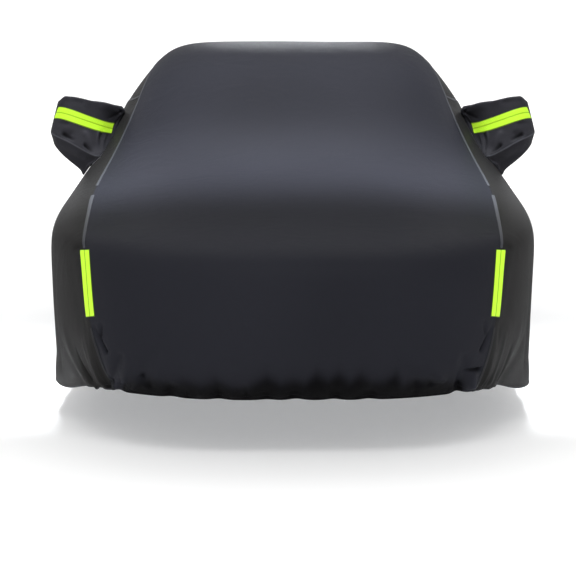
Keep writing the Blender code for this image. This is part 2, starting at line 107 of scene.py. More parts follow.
# Main folds, as in the part's source. Columns: u0, s0, u1, s1, half width and depth in mm.
FOLDS = (
    # front left corner
    (0, -0.97, 1.9, -0.853, 24, -24), (0.6, -0.93, 2.9, -0.593, 30, 10), (1, -0.78, 3, -0.56, 28, -9),
    (0.3, -1.06, 2.4, -0.97, 26, -11),
    # front right corner
    (0, 0.91, 1.9, 0.845, 24, -26), (0.3, 0.97, 1.3, 0.92, 26, 12), (0.9, 0.64, 2.2, 0.46, 28, -12),
    (1.2, 0.74, 2, 0.6, 26, 9),
    # gathers along the front hem
    (0, -0.66, 1, -0.61, 30, -12), (0, -0.4, 1.8, -0.39, 30, -12), (0, -0.14, 1.3, -0.133, 30, -9),
    (0, 0.02, 1.7, 0, 30, -15), (0, 0.22, 1.6, 0.233, 30, -13), (0, 0.41, 1.5, 0.38, 30, -12),
    # side panels, front
    (0.6, -1.86, 3, -1.487, 34, 11), (0.3, -1.3, 2.6, -1.083, 26, 10),
    (1.2, -1.98, 3.4, -1.66, 34, -10), (0.3, 1.7, 3, 1.48, 34, 11), (0.2, 1.22, 2.4, 1.04, 26, 10),
    (1.2, 1.97, 3.6, 1.64, 34, -11),
    # side panels, between the wheel arches
    (5.6, -2, 6.4, -1.5, 55, -11), (8.2, -2, 8, -1.42, 65, 9), (10.4, -2, 10, -1.55, 55, -12),
    (12.9, -2, 12.6, -1.36, 70, 10), (15.2, -2, 15.4, -1.52, 60, -12), (17.6, -2, 17.2, -1.45, 65, 9),
    (20.3, -2, 19.2, -1.5, 50, -11), (6.1, 2, 6.8, 1.46, 55, -10), (8.9, 2, 8.6, 1.52, 60, -11),
    (11.3, 2, 11.2, 1.44, 70, 10), (13.7, 2, 13.9, 1.5, 60, -12), (16.4, 2, 16.1, 1.38, 70, 9),
    (18.7, 2, 18.2, 1.55, 55, -11), (21, 2, 19.8, 1.52, 50, 10),
    # rear corners and rear hem
    (25, -0.93, 22.9, -0.82, 26, -20), (24.6, -1.1, 22.4, -0.99, 28, 10), (25, 0.9, 23.1, 0.8, 26, -21),
    (24.6, 1.08, 22.6, 1, 28, 11), (25, -0.42, 23.6, -0.4, 34, -12), (25, 0.08, 23.7, 0.06, 34, -13),
    (25, 0.48, 23.5, 0.45, 34, -11),
)
# Finer creases that only show here. Columns as above.
CREASES = (
    # pleats that the front elastic draws up
    (0, -0.68, 1.3, -0.63, 12, -9), (0, -0.57, 1.6, -0.548, 10, -11), (0, -0.5, 1.1, -0.47, 13, 7),
    (0, -0.4, 1.7, -0.388, 10, -12), (0, -0.33, 1.3, -0.31, 13, 6), (0, -0.25, 1.1, -0.24, 10, -10),
    (0, -0.14, 1.9, -0.132, 9, -12), (0, -0.07, 1.2, -0.06, 13, 6), (0, -0.01, 2.1, 0.002, 9, -13),
    (0, 0.06, 1.4, 0.06, 13, 6), (0, 0.13, 2.1, 0.122, 8, -12), (0, 0.18, 1.3, 0.18, 12, 6),
    (0, 0.24, 2, 0.233, 9, -12), (0, 0.29, 1.4, 0.285, 11, 6), (0, 0.35, 1.8, 0.34, 9, -11),
    (0, 0.43, 1.4, 0.41, 10, -9), (0, 0.54, 1.9, 0.52, 9, -11), (0, 0.66, 1.2, 0.635, 11, -9),
    # left corner: a deep tuck beside the seam, with folds that fan out of it
    (0.05, -1.1, 1.95, -0.845, 9, -20), (0.1, -1.01, 1.9, -0.815, 13, 12),
    (0.15, -0.93, 1.75, -0.775, 8, -12), (0.3, -0.86, 1.55, -0.735, 10, 8),
    (0.7, -0.9, 2.95, -0.59, 11, 9), (1, -0.79, 3.05, -0.555, 10, -11),
    (0.6, -0.76, 2.1, -0.64, 12, -6), (1.85, -0.945, 2.65, -0.985, 8, -10),
    (2.35, -0.955, 2.75, -0.935, 8, -8), (0.4, -1, 2.4, -0.96, 7, -6),
    # right corner: a boxy fold with a sharp upright edge
    (0.05, 0.925, 2, 0.838, 8, -22), (0.1, 0.865, 1.9, 0.808, 11, 10),
    (1.15, 0.975, 1.22, 0.88, 8, -14), (0.25, 0.98, 1.2, 0.935, 10, 12), (0.8, 0.72, 2.4, 0.56, 12, -8),
    (0.95, 0.78, 2.1, 0.62, 11, 6), (1.9, 0.95, 2.6, 0.985, 8, -9), (2.4, 0.955, 2.75, 0.93, 8, -6),
    # small rucks at the ends of the corner strips
    (4.98, -1.045, 5.12, -0.95, 12, -5), (5, 1.045, 5.1, 0.955, 12, -4),
    # left side panel
    (0.1, -1.14, 1.5, -1.04, 7, -8), (0.2, -1.22, 2.9, -1.06, 10, -8), (0.4, -1.42, 2.2, -1.18, 12, 7),
    (0.7, -1.66, 2, -1.4, 12, -7), (1, -1.95, 2, -1.65, 13, -7),
    # right side panel
    (0.1, 1.1, 1.6, 1.03, 7, -8), (0.2, 1.28, 2.7, 1.06, 10, -8), (0.4, 1.46, 2.4, 1.2, 12, 7),
    (0.7, 1.68, 2.1, 1.42, 12, -7), (1, 1.93, 2, 1.66, 13, -7),
    # soft pulls in front of the wheel arches and behind them
    (3.4, -1.9, 5.6, -1.2, 30, -5), (3.2, 1.88, 5.8, 1.22, 30, -5), (9.6, -1.95, 8.2, -1.3, 26, 5),
    (9.2, 1.95, 8, 1.28, 26, 5), (14.1, -1.95, 13.4, -1.5, 22, 5), (12.4, 1.95, 12.9, 1.46, 22, -6),
    (16.6, -1.96, 17, -1.55, 22, -6), (15.1, 1.96, 14.6, 1.52, 22, 5), (19.2, -1.95, 18.4, -1.4, 26, 5),
    (17.4, 1.95, 17.8, 1.5, 22, -5),
    # small folds where the cross seams leave the long seams
    (11.3, -1.03, 12.6, -1.15, 30, -4), (11.3, 1.03, 12.6, 1.15, 30, -4),
    # rear hem pleats and rear corners
    (25, -0.66, 23.9, -0.64, 11, -9), (25, -0.52, 23.8, -0.5, 11, 6), (25, -0.24, 23.7, -0.23, 10, -10),
    (25, -0.08, 24, -0.09, 12, 6), (25, 0.17, 23.9, 0.16, 11, 6), (25, 0.26, 23.6, 0.25, 10, -10),
    (25, 0.38, 24, 0.37, 12, 6), (25, 0.64, 23.8, 0.62, 11, -9), (25, -0.9, 23.4, -0.845, 10, -14),
    (24.8, -0.8, 22.8, -0.66, 13, 8), (24.6, -1.04, 22.6, -0.96, 9, -8),
    (25, 0.87, 23.5, 0.82, 10, -15), (24.8, 0.79, 22.9, 0.68, 13, 8), (24.6, 1.03, 22.7, 0.965, 9, -8),
)
# The sewn dart behind each mirror pocket's top, from the long seam backwards. Columns: u, |s|.
DART = ((11.42, 1.004), (11.50, 1.020), (11.62, 1.042), (11.90, 1.080), (12.50, 1.140), (13.2, 1.21))
HEM_WAVE = 0.006  # the side hems' slow wave
HEM_WAVE_HEIGHT = 0.16
HEM_WAVE_LENGTH = 0.34
HEM_BEAD, HEM_BEAD_WIDTH = 0.0020, 0.007  # the rolled edge of the hem
CREASE_DEPTH = 0.010  # a crease this deep gets full painted shade in a valley and full painted highlight on a ridge
HEM_CALM = 0.045  # the elastic in the hem holds the creases back over this height
CALM_FOLDS = 0.4  # the share of a main fold that is left at the hem
DENT = 0.0012  # slow dents of a large loose panel, fading out at the seams
HEM_STITCH = 0.020  # the hem's row of stitches, measured from its edge
# Upper edge of the band of painted shade on the part of the front hem that is tucked under. Pairs of s and
# u, left to right.
TUCK_SHADE_LINE = (
    (-0.95, 0), (-0.87, 0.585), (-0.76, 0.83), (-0.63, 0.802), (-0.55, 0.921), (-0.46, 0.76),
    (-0.39, 0.963), (-0.31, 0.732), (-0.24, 0.697), (-0.13, 1.194), (-0.06, 0.872), (0, 0.956),
    (0.06, 0.9), (0.12, 1.32), (0.18, 1.04), (0.23, 1.285), (0.29, 0.97), (0.34, 1.25),
    (0.41, 0.879), (0.47, 0.97), (0.52, 1.25), (0.57, 0.76), (0.64, 0.83), (0.76, 0.83),
    (0.87, 0.585), (0.95, 0),
)
TUCK_SHADE_SOFTNESS = 0.14  # softness of the painted shade's upper edge, in rows

CUT_EDGE = 0.00015  # half the gap at a seam
STRIP_LINE = 0.025  # a line beside the seam, from which a side panel's shares count
# A corner strip: its edges measured from the seam, first and last u, how far it runs inside the
# seam at its middle, and the slant of its ends in rows over half its width.
CORNER_STRIP, CORNER_STRETCH = (-0.034, 0.024), (2.8, 4.93)
STRIP_BOW, STRIP_SLANT = 0.006, 0.04
# Seam bindings. Columns: first u, last u, half width.
BINDINGS = {"bumper": (0.0, 2.5, 0.006), "bonnet": (5.0, 8.0, 0.0075), "roof": (8.5, 25.0, 0.0055)}
DART_WIDTH, DART_LIFT = 0.012, 0.0006
GROOVE = 0.0005  # depth of the groove along a strip's middle
GROOVE_WIDTH = 0.0016
TAPE_EDGE = 0.0012  # a tape is rounded off over this width
# The opening of a mirror pocket: its rows, and its shares of the way down the side panel.
MOUTH_U, MOUTH_SHARE = (10.0, 11.5), (0.07, 0.205)
COLLAR = 0.012  # the pocket stands out this far before it widens
SHARP_ANGLE = 50  # degrees; a steeper bend is shaded as an edge
SIDES = {"left": -1, "right": 1}


# ---- the cover's surface


def spline(values, t):
    """Cubic B-spline with the given control values, one for each whole t; it ends on them."""
    values = np.asarray(values, float)
    control = np.concatenate([[2 * values[0] - values[1]], values, [2 * values[-1] - values[-2]]])
    t = np.asarray(t, float)
    i = np.clip(np.floor(t).astype(int), 0, len(values) - 2)
    f = (t - i).reshape(t.shape + (1,) * (values.ndim - 1))
    weights = ((1 - f) ** 3, 3 * f**3 - 6 * f**2 + 4, -3 * f**3 + 3 * f**2 + 3 * f + 1, f**3)
    return sum(w * control[i + k] for k, w in enumerate(weights)) / 6


def rise(x):
    """Smooth step from 0, for very negative x, to 1."""
    return 1 / (1 + np.exp(-np.clip(x, -40, 40)))


def unit(v):
    return v / np.linalg.norm(v, axis=-1, keepdims=True)


def plan_half_width(y):
    """Half width of the outline seen from above: straight sides with rounded corners."""
    front = np.clip((y + 0.02) / FRONT_CORNER, 0.001, 1)
    rear = np.clip((LENGTH + 0.02 - y) / REAR_CORNER, 0.001, 1)
    return HALF_WIDTH * ((1 - (1 - front) ** 2) * (1 - (1 - rear) ** 2)) ** CORNER_POWER


def side_hem(y):
    """The side hem's point at y: drawn in and raised where it turns round the corners."""
    front_inset = FRONT_HEM_INSET * rise((FRONT_INSET_AT - y) / FRONT_INSET_SPREAD)
    rear_inset = REAR_HEM_INSET * rise((y - REAR_INSET_AT) / REAR_INSET_SPREAD)
    x = plan_half_width(y) - HEM_INSET - front_inset - rear_inset
    front_rise = FRONT_HEM_RISE * rise((FRONT_TURN - y) / FRONT_TURN_SPREAD)
    rear_rise = REAR_HEM_RISE * rise((y - REAR_TURN) / REAR_TURN_SPREAD)
    return np.stack([x, y, SIDE_HEM_HEIGHT + front_rise + rear_rise], -1)


def side_panel_point(u, w, seam, leave, hem_y):
    """A Bezier curve from the seam (w = 0) to the hem (w = 1), kept inside the plan outline."""
    w = w[..., None]
    hem = side_hem(hem_y)
    drop = np.linalg.norm(hem - seam, axis=-1, keepdims=True)
    front = rise((0.50 - hem_y) / 0.09)
    rear = rise((hem_y - 4.30) / 0.09)
    lean = HEM_LEAN + 0.5 * (front + rear)
    up = unit(np.stack([lean, 0.35 * (rear - front), np.ones_like(lean)], -1))
    end = (np.exp(-((u / 1.1) ** 2)) + np.exp(-(((LAST - u) / 1.1) ** 2)))[..., None]
    a = seam + leave * drop * (SHOULDER_REACH * (1 - end) + end / 3)
    b = hem + up * drop * HEM_REACH * (1 - end) + (seam - hem) / 3 * end
    point = seam * (1 - w) ** 3 + 3 * a * w * (1 - w) ** 2 + 3 * b * w**2 * (1 - w) + hem * w**3
    over = point[..., 0] - plan_half_width(point[..., 1])
    push = SIDE_SOFTNESS * np.logaddexp(0, over / SIDE_SOFTNESS)
    ramp = np.clip(np.minimum(w, 1 - w)[..., 0] / 0.12, 0, 1)
    point[..., 0] -= push * ramp**2 * (3 - 2 * ramp)
    return point


def cover(u, s):
    """The smooth cover. Across the middle panel a section falls by |s| to the power `bend`."""
    u, s = np.broadcast_arrays(np.asarray(u, float), np.asarray(s, float))
    row = {name: spline(values, u) for name, values in COLUMN.items()}
    centre = np.stack([np.zeros_like(u), row["centre_y"], row["centre_z"]], -1)
    seam = np.stack([row["seam_x"], row["seam_y"], row["seam_z"]], -1)
    v = np.minimum(np.abs(s), 1)
    middle = centre + (seam - centre) * (v ** row["bend"])[..., None]
    middle[..., 0] = row["seam_x"] * v
    leave = (seam - centre) * row["bend"][..., None]
    leave[..., 0] = row["seam_x"]
    w = np.clip(np.abs(s) - 1, 0, 1)
    side = side_panel_point(u, w, seam, unit(leave), row["hem_y"])
    point = np.where(np.abs(s)[..., None] <= 1, middle, side)
    point[..., 0] *= np.where(s < 0, -1, 1)
    return point


def outward(u, s, step=1e-3):
    """Unit normal of the smooth cover, from central differences."""
    u, s = np.broadcast_arrays(np.asarray(u, float), np.asarray(s, float))
    u0, u1 = np.clip(u - step, 0, LAST), np.clip(u + step, 0, LAST)
    s0, s1 = np.clip(s - step, -2, 2), np.clip(s + step, -2, 2)
    return unit(np.cross(cover(u, s1) - cover(u, s0), cover(u1, s) - cover(u0, s)))


def bells(point, table, place):
    """Sum of folds: each a bell across its line, fading by the square towards its far end."""
    depth = np.zeros(point.shape[:-1])
    for a0, b0, a1, b1, half_width, fold in table:
        start, end = place(a0, b0), place(a1, b1)
        along = np.clip(((point - start) @ (end - start)) / ((end - start) @ (end - start)), 0, 1)
        nearest = start + along[..., None] * (end - start)
        across = np.linalg.norm(point - nearest, axis=-1) / (half_width * MM)
        depth += fold * MM * (1 - along**2) * np.exp(-(across**2))
    return depth


def hem_distance(point, u, s):
    """Distance from the nearest hem: the front, rear and side ends of the surface."""
    u, s = np.broadcast_arrays(u, s)
    ends = [(np.zeros_like(u), s), (np.full_like(u, LAST), s), (u, np.where(s < 0, -2.0, 2.0))]
    return np.min([np.linalg.norm(point - cover(*end), axis=-1) for end in ends], axis=0)


def cloth_depth(point, u, s):
    """Height of the draped cloth over the smooth cover: folds, creases, hem wave and hem bead."""
    edge = hem_distance(point, u, s)
    calm = np.clip(edge / HEM_CALM, 0, 1)
    calm = calm**2 * (3 - 2 * calm)
    folds = bells(point, FOLDS, cover) * (CALM_FOLDS + (1 - CALM_FOLDS) * calm)
    depth = folds + bells(point, CREASES, cover) * calm
    above_hem = point[..., 2] - SIDE_HEM_HEIGHT
    wave = np.sin(2 * np.pi * point[..., 1] / HEM_WAVE_LENGTH + np.sign(s) + 1.3 * np.sin(u))
    on_side = np.clip((np.abs(s) - 1.2) / 0.3, 0, 1)
    depth += HEM_WAVE * wave * on_side * np.exp(-((above_hem / HEM_WAVE_HEIGHT) ** 2))
    x, y, z = np.moveaxis(point, -1, 0)
    dents = np.sin(5.1 * x + 3.3 * z + 1.0) * np.sin(3.7 * y - 2.2 * x) + np.sin(9.0 * x - 7 * z)
    depth += DENT * dents * np.clip(np.abs(np.abs(s) - 1) / 0.15, 0, 1)
    across = np.clip(edge / HEM_BEAD_WIDTH, 0, 1)
    return depth + HEM_BEAD * np.sin(np.pi * across)


def cloth(u, s, lift=0.0):
    """The draped cloth's outer face, raised by lift."""
    u, s = np.broadcast_arrays(np.asarray(u, float), np.asarray(s, float))
    point = cover(u, s)
    return point + outward(u, s) * (cloth_depth(point, u, s) + lift)[..., None]


def to_frame(points):
    return points - ORIGIN


def seam_distance(u, distance, side):
    """The s that lies `distance` from a seam: negative distances are on the middle panel."""
    small = 0.01
    away = 1 + np.where(np.asarray(distance) > 0, small, -small)
    speed = np.linalg.norm(cover(u, away) - cover(u, 1.0), axis=-1) / small
    return side * (1 + distance / speed)


def side_line(u, share, side):
    """The s of a line down a side panel, as a share of the way from its strip line to the hem."""
    start = seam_distance(u, STRIP_LINE, 1)
    return side * (start + (2 - start) * share)


# ---- meshes


def pieced(*stretches):
    """Joined linspaces. Each stretch is (start, end, steps), and ends where the next starts."""
    parts = [np.linspace(a, b, n + 1)[(0 if k == 0 else 1) :] for k, (a, b, n) in enumerate(stretches)]
    return np.concatenate(parts)


def grid_cells(rows, columns, keep=None):
    """Cells of a grid of points as corner numbers, without those where keep is False."""
    i, j = np.mgrid[0 : rows - 1, 0 : columns - 1]
    a = i * columns + j
    cells = np.stack([a, a + 1, a + columns + 1, a + columns], -1)
    return cells.reshape(-1, 4) if keep is None else cells[keep]


def rim_cells(cells, count):
    """Cells that join the open edges of a sheet's outer face to those of its inner face."""
    start, end = cells.ravel(), np.roll(cells, -1, axis=1).ravel()
    key = np.minimum(start, end) * (count + 1) + np.maximum(start, end)
    _, first, times = np.unique(key, return_index=True, return_counts=True)
    s, e = start[first[times == 1]], end[first[times == 1]]
    return np.stack([e, s, s + count, e + count], -1)


def new_mesh(name, points, cells, slots, materials, uv=None, fields=None):
    """A mesh from whole arrays. uv and fields hold a value for each point."""
    used, cells = np.unique(cells, return_inverse=True)
    cells = cells.reshape(-1, 4)
    mesh = bpy.data.meshes.new(name)
    mesh.vertices.add(len(used))
    mesh.vertices.foreach_set("co", points[used].astype(np.float32).ravel())
    mesh.loops.add(cells.size)
    mesh.loops.foreach_set("vertex_index", cells.astype(np.int32).ravel())
    mesh.polygons.add(len(cells))
    mesh.polygons.foreach_set("loop_start", np.arange(0, cells.size, 4, dtype=np.int32))
    mesh.polygons.foreach_set("material_index", slots.astype(np.int32))
    mesh.update(calc_edges=True)
    if uv is not None:
        layer = mesh.uv_layers.new(name="cloth")
        layer.data.foreach_set("uv", uv[used][cells.ravel()].astype(np.float32).ravel())
    for field, values in (fields or {}).items():
        attribute = mesh.attributes.new(field, "FLOAT", "POINT")
        attribute.data.foreach_set("value", values[used].astype(np.float32))
    mesh.validate()
    mesh.shade_smooth()
    mesh.set_sharp_from_angle(angle=math.radians(SHARP_ANGLE))
    for material in materials:
        mesh.materials.append(material)
    return mesh


def placed(name, data):
    made = bpy.data.objects.new(name, data)
    bpy.context.scene.collection.objects.link(made)
    return made


def add_piece(name, mesh, slot, *nodes):
    """Puts a finished mesh in the scene on the part's one body, in place of the CAD nodes named."""
    piece = placed(name, mesh)
    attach(piece, "root")
    if nodes:
        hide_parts(*nodes)
    return piece


def sheet_mesh(name, outer, inner, cells, materials, uv, fields):
    """A closed sheet: outer face, inner face in the second material, and a rim in the first."""
    count = outer[..., 0].size
    points = to_frame(np.concatenate([outer.reshape(-1, 3), inner.reshape(-1, 3)]))
    rim = rim_cells(cells, count)
    faces = np.concatenate([cells, cells[:, ::-1] + count, rim])
    slots = np.repeat([0, min(1, len(materials) - 1), 0], [len(cells), len(cells), len(rim)])
    uv = np.concatenate([uv.reshape(-1, 2)] * 2)
    fields = {k: np.concatenate([v.ravel()] * 2) for k, v in fields.items()}
    return new_mesh(name, points, faces, slots, materials, uv, fields)


def measured_uv(points):
    """Each point's distance along its row and along its column, in metres."""
    across = np.linalg.norm(np.diff(points, axis=1), axis=-1)
    along = np.linalg.norm(np.diff(points, axis=0), axis=-1)
    u = np.concatenate([np.zeros((len(points), 1)), np.cumsum(across, axis=1)], axis=1)
    v = np.concatenate([np.zeros((1, points.shape[1])), np.cumsum(along, axis=0)])
    middle = points.shape[1] // 2
    return np.stack([u - u[:, middle : middle + 1], v], -1)


# ---- materials


def fill(tree, made, inputs):
    """Sets a node's inputs, each to a plain value or to another node's output."""
    for name, value in inputs.items():
        if isinstance(value, bpy.types.NodeSocket):
            tree.links.new(value, made.inputs[name])
        else:
            made.inputs[name].default_value = value


def node(tree, kind, inputs=None, **settings):
    """A shader node with its settings and its inputs."""
    made = tree.nodes.new("ShaderNode" + kind)
    for name, value in settings.items():
        setattr(made, name, value)
    fill(tree, made, inputs or {})
    return made


def maths(tree, operation, a, b=0.0):
    return node(tree, "Math", {0: a, 1: b}, operation=operation).outputs[0]


def times(tree, a, b):
    return maths(tree, "MULTIPLY", a, b)


def apart(tree, a, b):
    """The plain distance between two values."""
    return maths(tree, "ABSOLUTE", maths(tree, "SUBTRACT", a, b))


def remap(tree, value, low, high, to_low=0.0, to_high=1.0):
    """value from low..high to to_low..to_high, held at the ends."""
    names = ("Value", "From Min", "From Max", "To Min", "To Max")
    inputs = dict(zip(names, (value, low, high, to_low, to_high)))
    return node(tree, "MapRange", inputs, interpolation_type="SMOOTHSTEP").outputs[0]


def new_group(name, inputs, outputs):
    """An empty shader node group with float or vector sockets: {name: default}."""
    tree = bpy.data.node_groups.new(name, "ShaderNodeTree")
    for socket, default in inputs.items():
        kind = "NodeSocketVector" if isinstance(default, tuple) else "NodeSocketFloat"
        tree.interface.new_socket(socket, in_out="INPUT", socket_type=kind).default_value = default
    for socket in outputs:
        tree.interface.new_socket(socket, in_out="OUTPUT", socket_type="NodeSocketFloat")
    return tree, tree.nodes.new("NodeGroupInput").outputs, tree.nodes.new("NodeGroupOutput").inputs


def weave_group():
    """Plain weave: threads along both axes of the cloth, with a slow unevenness."""
    tree, given, out = new_group("plain_weave", {"Cloth": (0, 0, 0), "Pitch": 0.001}, ("Height", "Slub"))
    split = node(tree, "SeparateXYZ", {0: given["Cloth"]}).outputs
    turn = maths(tree, "DIVIDE", math.pi, given["Pitch"])
    waves = [maths(tree, "SINE", times(tree, split[k], turn)) for k in (0, 1)]
    tree.links.new(times(tree, *waves), out["Height"])
    long = node(tree, "VectorMath", {0: given["Cloth"], 1: (420, 24, 1)}, operation="MULTIPLY")
    slub = node(tree, "TexNoise", {"Vector": long.outputs[0], "Scale": 1.0, "Detail": 2.0})
    tree.links.new(slub.outputs[0], out["Slub"])
    return tree


def crinkle_group():
    """Soft crinkles of coated cloth that was stored folded: two sizes of bent noise."""
    tree, given, out = new_group(
        "crinkle", {"Place": (0, 0, 0), "Size": 0.12, "Detail": 3.0}, ("Height", "Patches")
    )
    scale = maths(tree, "DIVIDE", 1.0, given["Size"])
    bent = {"Vector": given["Place"], "Scale": scale, "Detail": given["Detail"], "Distortion": 0.8}
    fine = node(tree, "TexNoise", bent)
    wide = {"Vector": given["Place"], "Scale": times(tree, scale, 0.17), "Detail": 2.0}
    slow = node(tree, "TexNoise", wide)
    ridge = apart(tree, fine.outputs[0], 0.5)
    tree.links.new(times(tree, ridge, slow.outputs[0]), out["Height"])
    tree.links.new(slow.outputs[0], out["Patches"])
    return tree


def stitch_group():
    """A row of stitches: a mask of dashes along Along, Width wide, where Across is near 0."""
    sockets = {"Along": 0.0, "Across": 0.0, "Pitch": 0.004, "Width": 0.0009}
    tree, given, out = new_group("stitch_row", sockets, ("Mask",))
    step = maths(tree, "FRACT", maths(tree, "DIVIDE", given["Along"], given["Pitch"]))
    dash = remap(tree, apart(tree, step, 0.5), 0.30, 0.40, 1.0, 0.0)
    off = maths(tree, "DIVIDE", maths(tree, "ABSOLUTE", given["Across"]), given["Width"])
    tree.links.new(times(tree, dash, remap(tree, off, 0.4, 0.6, 1.0, 0.0)), out["Mask"])
    return tree


WEAVE, CRINKLE, STITCH = weave_group(), crinkle_group(), stitch_group()
WEAVE_PITCH, TAPE_PITCH = 0.0012, 0.0010


def grouped(tree, group, inputs):
    return node(tree, "Group", inputs, node_tree=group).outputs


def stitches(tree, along, edge, inset, pitch):
    """The mask of a row of stitches that runs inset from an edge."""
    across = maths(tree, "SUBTRACT", edge, inset)
    return grouped(tree, STITCH, {"Along": along, "Across": across, "Pitch": pitch})["Mask"]


def mixed(tree, share, a, b):
    """Colour a where share is 0 and b where it is 1."""
    a, b = ((*colour, 1) if isinstance(colour, tuple) else colour for colour in (a, b))
    return node(tree, "Mix", {0: share, 6: a, 7: b}, data_type="RGBA").outputs[2]


def layered(tree, base, *layers):
    """A colour with others laid over it in turn, each as (mask, its strength, its colour)."""
    for mask, strength, colour in layers:
        base = mixed(tree, times(tree, mask, strength), base, colour)
    return base


def summed(tree, first, *rest):
    """A value with others added to it, each as (value, its share)."""
    for value, share in rest:
        first = maths(tree, "ADD", first, times(tree, value, share))
    return first


def shades(tint, *shares):
    return [tuple(share * channel for channel in tint) for share in shares]


def new_material(name, look, *values):
    """A material whose Principled shader gets the inputs that the function `look` gives."""
    material = bpy.data.materials.new(name)
    material.use_nodes = True
    tree = material.node_tree
    fill(tree, tree.nodes["Principled BSDF"], look(tree, *values))
    return material


def bump(tree, distance, height, *rest):
    inputs = {"Height": summed(tree, height, *rest), "Distance": distance, "Strength": 1.0}
    return node(tree, "Bump", inputs).outputs[0]


def attribute(tree, name):
    return node(tree, "Attribute", attribute_name=name).outputs["Fac"]


def cloth_relief(tree, size):
    """A point's place in space, the cloth's weave in its own plane, and crinkles of that size."""
    place = node(tree, "TexCoord").outputs["Object"]
    in_cloth = {"Cloth": node(tree, "UVMap", uv_map="cloth").outputs[0], "Pitch": WEAVE_PITCH}
    crinkle = grouped(tree, CRINKLE, {"Place": place, "Size": size})
    return place, grouped(tree, WEAVE, in_cloth), crinkle


def tape_place(tree):
    """A point's place on a tape: its UV, that UV's two parts, and its distance from the edge."""
    uv = node(tree, "UVMap", uv_map="cloth").outputs[0]
    across, along, _ = node(tree, "SeparateXYZ", {0: uv}).outputs
    return uv, across, along, attribute(tree, "edge_distance")


SHEEN = (0.022, 0.003)  # reflection level facing the viewer and edge on, where the weave breaks it up
# the near-black below is painted shade on the front hem where it turns under
TUCK_PAINTED_SHADE = (0.0012, 0.0010, 0.0011)
HEM_GREY, STITCH_GREY, SEWN_GREY = (0.050, 0.051, 0.056), (0.050, 0.050, 0.055), (0.075, 0.077, 0.088)


def black_cloth(tree, tint):
    """Satin black coated cloth with a turned hem, its stitches and a paler rolled edge. Its colour holds
    painted shade in crease valleys and on the tucked-under front hem, and a painted highlight on crease
    ridges.
    """
    place, weave, crinkle = cloth_relief(tree, 0.16)
    small = grouped(tree, CRINKLE, {"Place": place, "Size": 0.045, "Detail": 1.0})
    hem, tuck_shade, crease_shading = (attribute(tree, field) for field in ("hem_distance", "tuck_shade", "crease_shading"))
    stitch = stitches(tree, attribute(tree, "hem_run"), hem, HEM_STITCH, 0.006)
    beside = apart(tree, attribute(tree, "seam_distance"), 0.0013)
    valley_shade, dark, light, thread, ridge_highlight = shades(tint, 0.2, 0.90, 1.18, 1.5, 2.4)
    base = layered(
        tree,
        mixed(tree, remap(tree, crinkle["Patches"], 0.3, 0.7), dark, light),
        (weave["Slub"], 0.25, thread),
        # painted shade in crease valleys and painted highlight on crease ridges
        (remap(tree, crease_shading, -0.1, -1.2), 0.80, valley_shade),
        (remap(tree, crease_shading, 0.1, 1.2), 0.55, ridge_highlight),
        # painted shade on the band of the front hem that turns under
        (tuck_shade, 0.93, TUCK_PAINTED_SHADE),
        # the hem's pale edge is painted dimmer inside that painted shade
        (remap(tree, hem, 0.0050, 0.0075, 1.0, 0.0), remap(tree, tuck_shade, 0.1, 0.9, 0.75, 0.15), HEM_GREY),
        (stitch, 0.7, STITCH_GREY),
        (remap(tree, beside, 0.0010, 0.0026, 1.0, 0.0), 0.6, SEWN_GREY),
    )
    facing = node(tree, "LayerWeight", {"Blend": 0.5}).outputs["Facing"]
    relief = (small["Height"], 0.18), (weave["Height"], 0.012), (stitch, 0.06)
    return {
        "Base Color": base,
        "Roughness": remap(tree, crinkle["Patches"], 0.3, 0.7, 0.39, 0.46),
        "Specular IOR Level": remap(tree, facing, 0.35, 0.95, *SHEEN),
        "Normal": bump(tree, 0.006, crinkle["Height"], *relief),
    }


def pale_lining(tree):
    """The smooth silvery inner face of the coated cloth."""
    _, weave, crinkle = cloth_relief(tree, 0.10)
    patches = remap(tree, crinkle["Patches"], 0.3, 0.7)
    base = mixed(tree, patches, (0.60, 0.61, 0.63), (0.70, 0.71, 0.73))
    normal = bump(tree, 0.006, crinkle["Height"], (weave["Height"], 0.01))
    return {"Base Color": base, "Roughness": 0.55, "Normal": normal}


def grey_binding(tree, shade, groove=0.0):
    """Woven grey tape with a row of stitches along each edge, and as dark a groove as given."""
    uv, across, along, edge = tape_place(tree)
    weave = grouped(tree, WEAVE, {"Cloth": uv, "Pitch": TAPE_PITCH})
    stitch = stitches(tree, along, edge, 0.0018, 0.005)
    dark, light, thread = shades((0.95 * shade, shade, 1.17 * shade), 0.8, 1.2, 2.2)
    middle = remap(tree, maths(tree, "ABSOLUTE", across), 0.0008, 0.0020, 1.0, 0.0)
    base = layered(
        tree,
        mixed(tree, weave["Slub"], dark, light),
        (stitch, 0.6, thread),
        (remap(tree, edge, 0.0003, 0.0011, 1.0, 0.0), 0.7, (0.010, 0.010, 0.012)),
        (middle, groove, (0.004, 0.004, 0.005)),
    )
    normal = bump(tree, 0.001, times(tree, weave["Height"], 0.05), (stitch, 0.3))
    return {"Base Color": base, "Roughness": 0.55, "Specular IOR Level": 0.10, "Normal": normal}


